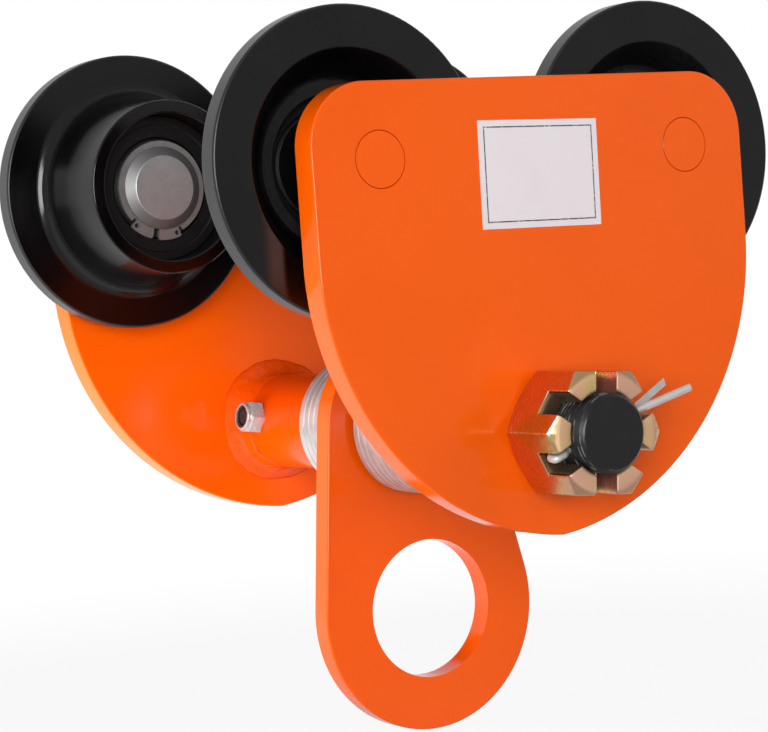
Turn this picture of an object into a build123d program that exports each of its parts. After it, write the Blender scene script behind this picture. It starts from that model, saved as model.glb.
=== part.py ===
from build123d import *

import os
from math import cos, radians, sin, sqrt, tan

# Manual beam trolley: two side plates on four flanged wheels, and a hanger lug on a cross shaft.
# Frame: +X along the beam, +Y from the front plate to the rear plate, +Z up. The origin lies
# on the beam's running surface at half the tread length, midway between the plates and the axles.
# All sizes are in millimetres and degrees.

os.makedirs("parts", exist_ok=True)

# Side plates
plate_side = 29
plate_rise = 28.8
plate_arc_drop = 36.5
plate_arc_offset = 10.39
plate_corner_r = 24
plate_foot = 39.9
plate_foot_r = 12
plate_edge_r = 0.8
plate_t = 12
plate_gap = 205

# Sealed ball bearing
bearing_bore = 35
ball_d = 7.9
ball_count = 11
raceway_clearance = 0.3
raceway_wall = 2.5
inner_shoulder = 1.4
outer_shoulder = 1.7
ring_edge = 0.6
seal_t = 1
seal_inset = 0.5
seal_clearance = 0.35
cage_t = 1.8
cage_rim = 1
cage_play = 0.35
pocket_clearance = 0.2

# Wheels
wheel_gap = 6.5
wheel_spread = 24
flange_h = 16.75
flange_t = 9.5
flange_edge_r = 1.2
tread_wall = 5.5
tread_rise = 5.75
tread_l = 36
tread_root_fillet = 6
tread_edge_r = 0.8
dish_slope = 9
dish_land = 7
dish_depth = 14
dish_edge_r = 1.5
dish_floor_fillet = 4
lip_h = 4
lip_t = 6.5

# Stub axles and their retaining rings
spigot_d = 21.7
spigot_edge = 0.4
collar_step = 3
axle_land = 0.6
axle_end_slope_w = 4.1
axle_end_slope_l = 2.4
ring_groove_depth = 1
ring_groove_play = 0.1
retainer_h = 2.5
retainer_t = 1.5
retainer_turn = 12
retainer_gap_angle = 8
retainer_lug_h = 2.1
retainer_lug_angle = 29
retainer_lug_r = 1
retainer_neck_w = 1.6
retainer_neck_angle = 4
retainer_hole_d = 2
retainer_hole_angle = 4.5

# Suspension shaft
shaft_d = 30
shaft_clearance = 0.25
shaft_end_l = 4.2
shaft_end_chamfer = 1.5
thread_pitch = 2
thread_depth = 0.8
thread_clearance = 0.05

# Sleeves and weld beads
sleeve_wall = 5.75
rear_sleeve_l = 69
weld_leg = 6.7
weld_crown = 0.8

# Spacer washers
washer_bore_clearance = 0.5
washer_band = 12.5
washer_t = 4
washer_edge = 0.4
washer_play = 0.05
washer_count = 7

# Hanger lug
lug_t = 10
lug_reach = 78.3
lug_top_wall = 22.4
lug_eye_d = 58
lug_eye_wall = 22.1
lug_bore_clearance = 0.5
lug_play = 2.85
lug_edge_r = 0.8
lug_swing = 4.3

# Slotted nut and split pin
hex_sides = 6
nut_wall = 8
nut_h = 31
nut_back_edge = 1.6
nut_back_angle = 43
nut_front_edge = 1.2
nut_front_angle = 25
nut_countersink = 1.8
nut_turn = -4.5
slot_w = 9.5
slot_depth = 13
split_pin_d = 3.2
split_pin_gap = 0.1
split_pin_clearance = 0.2
split_pin_eye_l = 6
split_pin_eye_w = 3.4
split_pin_eye_r = 1.2
split_pin_neck = 1.2
split_pin_bend = 3
split_pin_leg_l = 27
split_pin_spread = 15
split_pin_turn = -5.5
split_pin_twist = 9

# Cross bolt and its lock nut
bolt_d = 8
bolt_clearance = 0.2
bolt_head_h = 5.3
bolt_setback = 20
bolt_tilt = 9
bolt_end_recess = 1
bolt_edge = 0.6
lock_nut_hex_h = 6.2
lock_nut_hex_step = 0.5
lock_nut_collar_h = 1.8
lock_nut_collar_wall = 0.6
lock_nut_chamfer = 0.5
lock_nut_round = 0.7
insert_wall = 1.4
insert_h = 2.2
insert_lip = 0.6
insert_cover = 0.3

# Blank label
label_w = 55.3
label_h = 40.8
label_t = 0.3
label_drop = 8.2
label_turn = -1

# Bearing sizes that follow from its balls and its bore
bearing_section = ball_d + 2 * (raceway_clearance + raceway_wall)
bearing_od = bearing_bore + 2 * bearing_section
inner_ring_d = bearing_bore + 2 * (raceway_wall + inner_shoulder)
outer_ring_bore = bearing_od - 2 * (raceway_wall + outer_shoulder)
cage_w = ball_d + 2 * (pocket_clearance + cage_rim)
bearing_w = cage_w + 2 * (cage_play + seal_t + seal_inset)
ball_r = ball_d / 2
ball_pitch_r = (bearing_bore + bearing_section) / 2
raceway_r = ball_r + raceway_clearance

# Wheel diameters that follow from the bearing
tread_end_d = bearing_od + 2 * tread_wall
tread_root_d = tread_end_d + 2 * tread_rise
flange_d = tread_root_d + 2 * flange_h
lip_bore_d = bearing_od - 2 * lip_h
dish_floor_d = lip_bore_d + 2 * dish_land
dish_d = dish_floor_d + 2 * dish_slope

# Depths from the plate's inner face
flange_face_s = wheel_gap
tread_root_s = flange_face_s + flange_t
tread_end_s = tread_root_s + tread_l
dish_floor_s = flange_face_s + dish_depth
bearing_near_s = dish_floor_s + lip_t
bearing_far_s = bearing_near_s + bearing_w
bearing_mid_s = (bearing_near_s + bearing_far_s) / 2
groove_end_s = bearing_far_s + retainer_t + ring_groove_play
axle_end_s = groove_end_s + axle_land + axle_end_slope_l

# Axle and retaining ring diameters
collar_d = bearing_bore + 2 * collar_step
ring_groove_d = bearing_bore - 2 * ring_groove_depth
retainer_d = bearing_bore + 2 * retainer_h

# Lugs of the retaining ring: angles from the middle of its gap, and radii
gap_half = retainer_gap_angle / 2
lug_far = gap_half + retainer_lug_angle
neck_far = lug_far + retainer_neck_angle
lug_end_r = retainer_d / 2 + retainer_lug_h
neck_r = ring_groove_d / 2 + retainer_neck_w
plier_turn = lug_far - retainer_hole_angle
plier_r = (neck_r + lug_end_r) / 2

# Plate outline, and the heights of the axles and the shaft
axle_spacing = flange_d + wheel_spread
plate_half_w = axle_spacing / 2 + plate_side
plate_arc_r = plate_half_w + plate_arc_offset
plate_drop = plate_arc_drop + sqrt(plate_arc_r**2 - plate_arc_offset**2)
axle_z = (tread_root_d + tread_end_d) / 4
shaft_drop = plate_drop - plate_foot
shaft_z = axle_z - shaft_drop
inner_y = plate_gap / 2
outer_y = inner_y + plate_t

# Sizes round the shaft
shaft_r = shaft_d / 2
sleeve_bore_r = shaft_r + shaft_clearance
sleeve_r = sleeve_bore_r + sleeve_wall
washer_bore_r = shaft_r + washer_bore_clearance
washer_r = washer_bore_r + washer_band
lug_bore_r = shaft_r + lug_bore_clearance
lug_top_r = lug_bore_r + lug_top_wall
lug_eye_r = lug_eye_d / 2
lug_bottom_r = lug_eye_r + lug_eye_wall

# Places along the shaft
washer_pitch = washer_t + washer_play
stack_l = washer_count * washer_pitch
rear_sleeve_end_y = inner_y - rear_sleeve_l
lug_back_y = rear_sleeve_end_y - stack_l - lug_play
front_stack_y = lug_back_y - lug_t - lug_play
front_sleeve_end_y = front_stack_y - stack_l
front_sleeve_l = front_sleeve_end_y + inner_y
nut_front_y = -outer_y - nut_h
shaft_front_y = nut_front_y - shaft_end_l

# Nut, pin and bolt
nut_af = shaft_d + 2 * nut_wall
slot_pitch = 360 / hex_sides
split_pin_y = nut_front_y + slot_depth / 2
slot_angle = slot_pitch / 2 + nut_turn
split_pin_angle = slot_angle + split_pin_turn
lock_nut_h = lock_nut_hex_h + lock_nut_collar_h
insert_r = bolt_d / 2 + insert_wall
lock_nut_collar_r = insert_r + lock_nut_collar_wall
bolt_hex_r = lock_nut_collar_r + lock_nut_hex_step


def facing(y: float, z: float) -> Plane:
    """Return an upright plane at a distance y, seen from the front, with its origin at height z."""
    return Plane(origin=(0, y, z), x_dir=(1, 0, 0), z_dir=(0, -1, 0))


def section(x: float, y: float, z: float, way: int) -> Plane:
    """Return a half-section plane: its X is a radius and its Y runs along the axis, way being +1 or -1."""
    return Plane(origin=(x, y, z), x_dir=(1, 0, 0), z_dir=(0, 0, way))


def polar(radius: float, angle: float) -> tuple[float, float]:
    """Return the point of a sketch at a radius and at an angle in degrees."""
    return radius * cos(radians(angle)), radius * sin(radians(angle))


def axis_of(plane: Plane) -> Axis:
    """Return the turning axis of a half-section plane."""
    return Axis(plane.origin, plane.y_dir)


# Crosswise plane of the lock bolt: its Z points along the bolt to the lock nut
lock_plane = Plane(
    origin=(0, inner_y - bolt_setback, shaft_z),
    x_dir=(0, 1, 0),
    z_dir=(-cos(radians(bolt_tilt)), 0, sin(radians(bolt_tilt))),
)

lock_axis = Axis(lock_plane.origin, lock_plane.z_dir)

# Plane of the split pin: its X points along the pin to the legs, its Y to the front,
# and it is twisted a little about the pin's own line
pin_along = Vector(cos(radians(split_pin_angle)), 0, sin(radians(split_pin_angle)))
pin_side = pin_along.cross(Vector(0, -1, 0))
pin_plane = Plane(
    origin=(0, split_pin_y, shaft_z),
    x_dir=pin_along,
    z_dir=pin_side.rotate(Axis((0, 0, 0), pin_along), split_pin_twist),
)

# Side plates: rounded top corners, straight sides and two arcs that meet at the lowest point
for plate_name, plate_back_y in (("front_side_plate", -inner_y), ("rear_side_plate", outer_y)):
    with BuildPart() as side_plate:
        with BuildSketch(facing(plate_back_y, axle_z)) as outline:
            with BuildLine():
                top = Line((0, plate_rise), (plate_half_w - plate_corner_r, plate_rise))
                corner = TangentArc(top @ 1, (plate_half_w, plate_rise - plate_corner_r), tangent=top % 1)
                flank = Line(corner @ 1, (plate_half_w, -plate_arc_drop))
                TangentArc(flank @ 1, (0, -plate_drop), tangent=flank % 1)
                mirror(about=Plane.YZ)
            make_face()
            fillet(outline.vertices().sort_by(Axis.Y)[0], radius=plate_foot_r)
        extrude(amount=plate_t)
        rim = side_plate.faces().filter_by(Axis.Y)
        fillet(rim.edges(), radius=plate_edge_r)
        with BuildSketch(facing(plate_back_y, axle_z)):
            with Locations((-axle_spacing / 2, 0), (axle_spacing / 2, 0)):
                Circle(spigot_d / 2)
            with Locations((0, -shaft_drop)):
                Circle(sleeve_bore_r)
        extrude(amount=plate_t, mode=Mode.SUBTRACT)
    side_plate.part.label = plate_name
    export_step(side_plate.part, f"parts/{plate_name}.step")

# Blank label on the front plate
with BuildPart() as rating_label:
    with BuildSketch(facing(-outer_y, axle_z - label_drop)):
        Rectangle(label_w, label_h, rotation=label_turn)
    extrude(amount=label_t)
rating_label.part.label = "rating_label"
export_step(rating_label.part, "parts/rating_label.step")

# Wheels with their bearings, axles and retaining rings, one set at each corner.
# Each round piece is a section in radius and in depth from the plate's inner face.
corners = {
    "front_left": section(-axle_spacing / 2, -inner_y, axle_z, 1),
    "front_right": section(axle_spacing / 2, -inner_y, axle_z, 1),
    "rear_left": section(-axle_spacing / 2, inner_y, axle_z, -1),
    "rear_right": section(axle_spacing / 2, inner_y, axle_z, -1),
}

# Way in which the retaining rings are open
retainer_open = (-sin(radians(retainer_turn)), 0, -cos(radians(retainer_turn)))

for corner_name, station in corners.items():
    spin = axis_of(station)
    ball_centre = station.origin + station.y_dir * bearing_mid_s
    ball_plane = Plane(origin=ball_centre, x_dir=station.x_dir, z_dir=station.y_dir)
    retainer_foot = station.origin + station.y_dir * bearing_far_s
    retainer_plane = Plane(origin=retainer_foot, x_dir=retainer_open, z_dir=station.y_dir)

    # Cast wheel: dished outer face, flange, tapered tread and the bearing's seat
    with BuildPart() as wheel:
        with BuildSketch(station):
            with BuildLine():
                FilletPolyline(
                    (lip_bore_d / 2, dish_floor_s),
                    (dish_floor_d / 2, dish_floor_s),
                    (dish_d / 2, flange_face_s),
                    (flange_d / 2, flange_face_s),
                    (flange_d / 2, tread_root_s),
                    (tread_root_d / 2, tread_root_s),
                    (tread_end_d / 2, tread_end_s),
                    (bearing_od / 2, tread_end_s),
                    (bearing_od / 2, bearing_near_s),
                    (lip_bore_d / 2, bearing_near_s),
                    radius=(0, dish_floor_fillet, dish_edge_r, flange_edge_r, flange_edge_r,
                            tread_root_fillet, tread_edge_r, tread_edge_r, 0, 0),
                    close=True,
                )
            make_face()
        revolve(axis=spin)
    wheel.part.label = f"wheel_{corner_name}"
    export_step(wheel.part, f"parts/wheel_{corner_name}.step")

    # Stub axle: spigot flush in the plate, collar, journal, ring groove and sloped end
    with BuildPart() as axle:
        with BuildSketch(station):
            with BuildLine():
                Polyline(
                    (0, -plate_t),
                    (spigot_d / 2 - spigot_edge, -plate_t),
                    (spigot_d / 2, -plate_t + spigot_edge),
                    (spigot_d / 2, 0),
                    (collar_d / 2, 0),
                    (collar_d / 2, bearing_near_s),
                    (bearing_bore / 2, bearing_near_s),
                    (bearing_bore / 2, bearing_far_s),
                    (ring_groove_d / 2, bearing_far_s),
                    (ring_groove_d / 2, groove_end_s),
                    (bearing_bore / 2, groove_end_s),
                    (bearing_bore / 2, axle_end_s - axle_end_slope_l),
                    (bearing_bore / 2 - axle_end_slope_w, axle_end_s),
                    (0, axle_end_s),
                    close=True,
                )
            make_face()
        revolve(axis=spin)
    axle.part.label = f"axle_{corner_name}"
    export_step(axle.part, f"parts/axle_{corner_name}.step")

    # Bearing rings, each with the balls' groove
    for ring_name, ring_inner_r, ring_outer_r in (
        ("bearing_inner_ring", bearing_bore / 2, inner_ring_d / 2),
        ("bearing_outer_ring", outer_ring_bore / 2, bearing_od / 2),
    ):
        with BuildPart() as bearing_ring:
            with BuildSketch(station):
                with BuildLine():
                    Polyline(
                        (ring_inner_r, bearing_near_s),
                        (ring_outer_r, bearing_near_s),
                        (ring_outer_r, bearing_far_s),
                        (ring_inner_r, bearing_far_s),
                        close=True,
                    )
                make_face()
                with Locations((ball_pitch_r, bearing_mid_s)):
                    Circle(raceway_r, mode=Mode.SUBTRACT)
            revolve(axis=spin)
            chamfer(bearing_ring.faces().filter_by(Axis.Y).edges(), length=ring_edge)
        bearing_ring.part.label = f"{ring_name}_{corner_name}"
        export_step(bearing_ring.part, f"parts/{ring_name}_{corner_name}.step")

    with BuildPart(ball_plane) as bearing_balls:
        with PolarLocations(ball_pitch_r, ball_count):
            Sphere(ball_r)
    bearing_balls.part.label = f"bearing_balls_{corner_name}"
    export_step(bearing_balls.part, f"parts/bearing_balls_{corner_name}.step")

    # Cage: a ring band with a round pocket for each ball
    with BuildPart(ball_plane) as bearing_cage:
        Cylinder(ball_pitch_r + cage_t / 2, cage_w)
        Cylinder(ball_pitch_r - cage_t / 2, cage_w, mode=Mode.SUBTRACT)
        with PolarLocations(ball_pitch_r, ball_count):
            Cylinder(ball_r + pocket_clearance, ball_d, rotation=(0, 90, 0), mode=Mode.SUBTRACT)
    bearing_cage.part.label = f"bearing_cage_{corner_name}"
    export_step(bearing_cage.part, f"parts/bearing_cage_{corner_name}.step")

    # Seals: one flat ring at each side, held in the outer ring
    with BuildPart() as bearing_seals:
        with BuildSketch(station):
            for seal_s in (bearing_near_s + seal_inset, bearing_far_s - seal_inset - seal_t):
                with BuildLine():
                    Polyline(
                        (inner_ring_d / 2 + seal_clearance, seal_s),
                        (outer_ring_bore / 2, seal_s),
                        (outer_ring_bore / 2, seal_s + seal_t),
                        (inner_ring_d / 2 + seal_clearance, seal_s + seal_t),
                        close=True,
                    )
                make_face()
        revolve(axis=spin)
    bearing_seals.part.label = f"bearing_seals_{corner_name}"
    export_step(bearing_seals.part, f"parts/bearing_seals_{corner_name}.step")

    # Retaining ring: open at the bottom, each end a necked lug with a plier hole
    with BuildPart() as retaining_ring:
        with BuildSketch(retainer_plane) as ring_outline:
            with BuildLine():
                Line(polar(ring_groove_d / 2, gap_half), polar(lug_end_r, gap_half))
                CenterArc((0, 0), lug_end_r, gap_half, retainer_lug_angle)
                Line(polar(lug_end_r, lug_far), polar(neck_r, lug_far))
                CenterArc((0, 0), neck_r, lug_far, retainer_neck_angle)
                Line(polar(neck_r, neck_far), polar(retainer_d / 2, neck_far))
                CenterArc((0, 0), retainer_d / 2, neck_far, 180 - neck_far)
                CenterArc((0, 0), ring_groove_d / 2, gap_half, 180 - gap_half)
                mirror(about=Plane.XZ)
            make_face()
            fillet(ring_outline.vertices().sort_by_distance((0, 0, 0))[-4:], radius=retainer_lug_r)
            with Locations(polar(plier_r, plier_turn), polar(plier_r, -plier_turn)):
                Circle(retainer_hole_d / 2, mode=Mode.SUBTRACT)
        extrude(amount=retainer_t)
    retaining_ring.part.label = f"retaining_ring_{corner_name}"
    export_step(retaining_ring.part, f"parts/retaining_ring_{corner_name}.step")

# Sleeve on each plate, with the weld bead round its foot
sleeves = {
    "rear": (section(0, inner_y, shaft_z, -1), rear_sleeve_l),
    "front": (section(0, -inner_y, shaft_z, 1), front_sleeve_l),
}

for sleeve_name, (foot, sleeve_l) in sleeves.items():
    with BuildPart() as sleeve:
        with BuildSketch(foot):
            with BuildLine():
                Polyline(
                    (sleeve_bore_r, 0),
                    (sleeve_r, 0),
                    (sleeve_r, sleeve_l),
                    (sleeve_bore_r, sleeve_l),
                    close=True,
                )
            make_face()
        revolve(axis=axis_of(foot))
        if sleeve_name == "rear":
            with BuildSketch(lock_plane):
                Circle(bolt_d / 2 + bolt_clearance)
            extrude(amount=2 * sleeve_r, both=True, mode=Mode.SUBTRACT)
    sleeve.part.label = f"{sleeve_name}_sleeve"
    export_step(sleeve.part, f"parts/{sleeve_name}_sleeve.step")

    with BuildPart() as weld:
        with BuildSketch(foot):
            with BuildLine():
                weld_foot = Line((sleeve_r + weld_leg, 0), (sleeve_r, 0))
                weld_side = Line(weld_foot @ 1, (sleeve_r, weld_leg))
                weld_mid = weld_leg / 2 + weld_crown
                ThreePointArc(weld_side @ 1, (sleeve_r + weld_mid, weld_mid), weld_foot @ 0)
            make_face()
        revolve(axis=axis_of(foot))
    weld.part.label = f"{sleeve_name}_sleeve_weld"
    export_step(weld.part, f"parts/{sleeve_name}_sleeve_weld.step")

# Suspension shaft: plain from the rear plate to the front plate, then threaded to its end
shaft_foot = section(0, outer_y, shaft_z, -1)
shaft_l = outer_y - shaft_front_y
thread_count = int((nut_h + shaft_end_l - shaft_end_chamfer) / thread_pitch)
thread_start_s = shaft_l - shaft_end_chamfer - thread_count * thread_pitch
thread_points = []
for turn in range(thread_count):
    crest_s = thread_start_s + turn * thread_pitch
    thread_points.append((shaft_r, crest_s))
    thread_points.append((shaft_r - thread_depth, crest_s + thread_pitch / 2))

with BuildPart() as suspension_shaft:
    with BuildSketch(shaft_foot):
        with BuildLine():
            Polyline(
                (0, 0),
                (shaft_r - shaft_end_chamfer, 0),
                (shaft_r, shaft_end_chamfer),
                *thread_points,
                (shaft_r, shaft_l - shaft_end_chamfer),
                (shaft_r - shaft_end_chamfer, shaft_l),
                (0, shaft_l),
                close=True,
            )
        make_face()
    revolve(axis=axis_of(shaft_foot))
    with BuildSketch(lock_plane):
        Circle(bolt_d / 2 + bolt_clearance)
    extrude(amount=shaft_d, both=True, mode=Mode.SUBTRACT)
    with BuildSketch(Plane(origin=pin_plane.origin, x_dir=(0, 1, 0), z_dir=pin_along)):
        Circle(split_pin_d / 2 + split_pin_clearance)
    extrude(amount=shaft_d, both=True, mode=Mode.SUBTRACT)
suspension_shaft.part.label = "suspension_shaft"
export_step(suspension_shaft.part, "parts/suspension_shaft.step")

# Spacer washers: one stack behind the lug and one in front of it
for stack_name, stack_y in (("rear_washers", rear_sleeve_end_y), ("front_washers", front_stack_y)):
    with BuildPart(facing(stack_y, shaft_z)) as washers:
        with Locations(*[(0, 0, place * washer_pitch) for place in range(washer_count)]):
            Cylinder(washer_r, washer_t, align=(Align.CENTER, Align.CENTER, Align.MIN))
        chamfer(washers.edges(), length=washer_edge)
        Cylinder(washer_bore_r, stack_l, align=(Align.CENTER, Align.CENTER, Align.MIN), mode=Mode.SUBTRACT)
    washers.part.label = stack_name
    export_step(washers.part, f"parts/{stack_name}.step")

# Hanger lug: two round ends joined by straight sides, with the shaft's hole and the load eye
eye_x = lug_reach * sin(radians(lug_swing))
eye_z = -lug_reach * cos(radians(lug_swing))
with BuildPart() as hanger_lug:
    with BuildSketch(facing(lug_back_y, shaft_z)):
        Circle(lug_top_r)
        with Locations((eye_x, eye_z)):
            Circle(lug_bottom_r)
        make_hull()
        Circle(lug_bore_r, mode=Mode.SUBTRACT)
        with Locations((eye_x, eye_z)):
            Circle(lug_eye_r, mode=Mode.SUBTRACT)
    extrude(amount=lug_t)
    lug_rims = [face.outer_wire().edges() for face in hanger_lug.faces().filter_by(Axis.Y)]
    fillet([edge for rim_edges in lug_rims for edge in rim_edges], radius=lug_edge_r)
hanger_lug.part.label = "hanger_lug"
export_step(hanger_lug.part, "parts/hanger_lug.step")

# Slotted nut: a hexagon with conical chamfers, cut by six slots from the front
nut_foot = section(0, -outer_y, shaft_z, -1)
nut_reach = nut_af / 2 + nut_wall
nut_back_r = nut_af / 2 - nut_back_edge
nut_front_r = nut_af / 2 - nut_front_edge
back_rise = (nut_reach - nut_back_r) * tan(radians(nut_back_angle))
front_rise = (nut_reach - nut_front_r) * tan(radians(nut_front_angle))
with BuildPart() as castle_nut:
    with BuildSketch(facing(-outer_y, shaft_z)):
        RegularPolygon(nut_af / 2, hex_sides, major_radius=False, rotation=nut_turn)
        Circle(shaft_r + thread_clearance, mode=Mode.SUBTRACT)
    extrude(amount=nut_h)
    nut_mouth = castle_nut.edges().filter_by(GeomType.CIRCLE).sort_by(Axis.Y)[0]
    chamfer(nut_mouth, length=nut_countersink)
    with BuildSketch(nut_foot):
        with BuildLine():
            Polyline(
                (0, 0),
                (nut_back_r, 0),
                (nut_reach, back_rise),
                (nut_reach, nut_h - front_rise),
                (nut_front_r, nut_h),
                (0, nut_h),
                close=True,
            )
        make_face()
    revolve(axis=axis_of(nut_foot), mode=Mode.INTERSECT)
    with BuildSketch(facing(nut_front_y, shaft_z)):
        for slot in range(hex_sides // 2):
            Rectangle(2 * nut_af, slot_w, rotation=slot_angle + slot * slot_pitch)
    extrude(amount=-slot_depth, mode=Mode.SUBTRACT)
castle_nut.part.label = "castle_nut"
export_step(castle_nut.part, "parts/castle_nut.step")

# Split pin: half-round wire folded at an eye, with its two legs spread outside the nut
pin_half_gap = split_pin_gap / 2
neck_u = -(shaft_r + split_pin_neck)
eye_end_u = neck_u - split_pin_eye_l
root_u = shaft_r + split_pin_neck
tip_u = root_u + split_pin_leg_l * cos(radians(split_pin_spread))
tip_w = pin_half_gap + split_pin_leg_l * sin(radians(split_pin_spread))
eye_side = split_pin_eye_w / 2
with BuildPart() as split_pin:
    with BuildLine(pin_plane) as pin_path:
        FilletPolyline(
            (tip_u, tip_w),
            (root_u, pin_half_gap),
            (neck_u, pin_half_gap),
            (neck_u - eye_side, eye_side),
            (eye_end_u, eye_side),
            (eye_end_u, -eye_side),
            (neck_u - eye_side, -eye_side),
            (neck_u, -pin_half_gap),
            (root_u, -pin_half_gap),
            (tip_u, -tip_w),
            radius=(split_pin_bend, split_pin_bend, split_pin_eye_r, split_pin_eye_r,
                    split_pin_eye_r, split_pin_eye_r, split_pin_bend, split_pin_bend),
        )
    pin_start = Plane(origin=pin_path.line @ 0, x_dir=pin_plane.z_dir, z_dir=pin_path.line % 0)
    with BuildSketch(pin_start):
        Circle(split_pin_d / 2)
        Rectangle(split_pin_d, split_pin_d, align=(Align.CENTER, Align.MAX), mode=Mode.SUBTRACT)
    sweep(path=pin_path.wire())
split_pin.part.label = "split_pin"
export_step(split_pin.part, "parts/split_pin.step")

# Cross bolt: hexagon head against the far side of the rear sleeve
bolt_end = sleeve_r + lock_nut_h - bolt_end_recess
with BuildPart(lock_plane) as lock_bolt:
    with BuildSketch(lock_plane.offset(-sleeve_r)):
        RegularPolygon(bolt_hex_r, hex_sides, major_radius=False)
    extrude(amount=-bolt_head_h)
    with BuildSketch(lock_plane.offset(-sleeve_r)):
        Circle(bolt_d / 2)
    extrude(amount=sleeve_r + bolt_end)
    bolt_tip = lock_bolt.edges().filter_by(GeomType.CIRCLE).sort_by(lock_axis)[-1]
    chamfer(bolt_tip, length=bolt_edge)
lock_bolt.part.label = "lock_bolt"
export_step(lock_bolt.part, "parts/lock_bolt.step")

# Lock nut: hexagon with a round collar, its lip turned in a little over the friction insert
insert_foot = lock_nut_h - insert_lip - insert_h
with BuildPart() as lock_nut:
    with BuildSketch(lock_plane.offset(sleeve_r)):
        RegularPolygon(bolt_hex_r, hex_sides, major_radius=False)
    extrude(amount=lock_nut_hex_h)
    chamfer(lock_nut.faces().sort_by(lock_axis)[-1].edges(), length=lock_nut_chamfer)
    with BuildSketch(lock_plane.offset(sleeve_r)):
        Circle(lock_nut_collar_r)
    extrude(amount=lock_nut_h)
    collar_rim = lock_nut.edges().filter_by(GeomType.CIRCLE).sort_by(lock_axis)[-1]
    fillet(collar_rim, radius=lock_nut_round)
    with BuildSketch(lock_plane.offset(sleeve_r)):
        Circle(bolt_d / 2 + thread_clearance)
    extrude(amount=lock_nut_h, mode=Mode.SUBTRACT)
    with BuildSketch(lock_plane.offset(sleeve_r + insert_foot)):
        Circle(insert_r)
    extrude(amount=insert_h, mode=Mode.SUBTRACT)
    with BuildSketch(lock_plane.offset(sleeve_r + insert_foot)):
        Circle(insert_r - insert_cover)
    extrude(amount=insert_h + insert_lip, mode=Mode.SUBTRACT)
lock_nut.part.label = "lock_nut"
export_step(lock_nut.part, "parts/lock_nut.step")

with BuildPart() as lock_nut_insert:
    with BuildSketch(lock_plane.offset(sleeve_r + insert_foot)):
        Circle(insert_r)
        Circle(bolt_d / 2 + thread_clearance, mode=Mode.SUBTRACT)
    extrude(amount=insert_h)
lock_nut_insert.part.label = "lock_nut_insert"
export_step(lock_nut_insert.part, "parts/lock_nut_insert.step")
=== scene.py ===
"""Looks of a manual beam trolley.

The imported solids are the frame. This script dresses them: gloss paint on the plates, sleeves and lug,
black cast wheels, plated fasteners and uneven weld beads, in a pale studio seen from the front left.
"""

import logging
import math
from abc import ABC, abstractmethod
from dataclasses import dataclass, field
from enum import Enum
from typing import Any, Callable, Optional, Union

import bpy
from mathutils import Matrix, Vector


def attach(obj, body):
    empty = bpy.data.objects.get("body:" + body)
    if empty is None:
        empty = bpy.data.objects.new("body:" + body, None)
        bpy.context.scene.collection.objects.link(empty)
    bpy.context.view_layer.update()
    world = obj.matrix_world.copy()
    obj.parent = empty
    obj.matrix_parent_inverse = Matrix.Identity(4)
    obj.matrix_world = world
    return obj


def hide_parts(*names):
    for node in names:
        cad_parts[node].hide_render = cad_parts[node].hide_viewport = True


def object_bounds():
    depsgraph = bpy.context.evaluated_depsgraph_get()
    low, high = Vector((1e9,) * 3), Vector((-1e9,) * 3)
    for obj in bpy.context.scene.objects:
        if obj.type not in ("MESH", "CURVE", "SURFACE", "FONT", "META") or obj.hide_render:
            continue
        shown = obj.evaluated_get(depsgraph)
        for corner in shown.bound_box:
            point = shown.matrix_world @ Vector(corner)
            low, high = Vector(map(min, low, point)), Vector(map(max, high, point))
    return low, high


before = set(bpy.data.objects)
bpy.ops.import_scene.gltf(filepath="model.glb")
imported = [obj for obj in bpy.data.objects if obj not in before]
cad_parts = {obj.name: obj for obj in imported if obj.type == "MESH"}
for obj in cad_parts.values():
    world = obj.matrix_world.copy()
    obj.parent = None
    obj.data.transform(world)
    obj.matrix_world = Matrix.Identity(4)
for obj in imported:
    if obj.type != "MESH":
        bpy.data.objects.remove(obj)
CAD_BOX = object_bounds()

log = logging.getLogger("trolley")

Colour = tuple[float, float, float]
Place = tuple[float, float, float]
Span = tuple[float, float]
Stops = tuple[tuple[float, Colour], ...]
Number = Union["Wire", float]

# Places that the finishes and pieces share, in metres
AXLE_X = 0.071
AXLE_Z = 0.039375
PLATE_INNER_Y = 0.1025
PLATE_OUTER_Y = 0.1145
SHAFT_Z = -0.067125

# The paint of the plates and the lug, which also covers the outer ends of the axles
ORANGE: Colour = (0.85, 0.102, 0.0010)

WHITE = (1.0, 1.0, 1.0, 1.0)
UNSTRETCHED: Place = (1.0, 1.0, 1.0)

# The value that a noise pattern swings about
NOISE_MIDDLE = 0.5

# Nodes that mix colours or blend shaders have several sockets of one name, so these go by number
MIX_FACTOR, MIX_FIRST, MIX_SECOND, MIX_RESULT = 0, 6, 7, 2
BLEND_FACTOR, BLEND_FIRST, BLEND_SECOND = 0, 1, 2


class Corner(Enum):
    """The four wheel stations."""

    FRONT_LEFT = "front_left"
    FRONT_RIGHT = "front_right"
    REAR_LEFT = "rear_left"
    REAR_RIGHT = "rear_right"


class Slot(Enum):
    """Material slots of the record for the solids that new pieces stand for; not used in this script."""

    PAINT = "orange_paint"
    YELLOW_ZINC = "yellow_zinc_steel"


class Ray(Enum):
    """Kinds of ray that see the pale surround."""

    CAMERA = "Is Camera Ray"
    GLOSSY = "Is Glossy Ray"
    TRANSMISSION = "Is Transmission Ray"


@dataclass(frozen=True)
class Grain:
    """A noise pattern: features per metre, finer layers, and a factor on the scale along each axis."""

    scale: float
    detail: float
    stretch: Place = UNSTRETCHED


@dataclass(frozen=True)
class Relief:
    """Bumps on a surface: how strongly they show, and the height of a full step in metres."""

    strength: float
    distance: float


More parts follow.
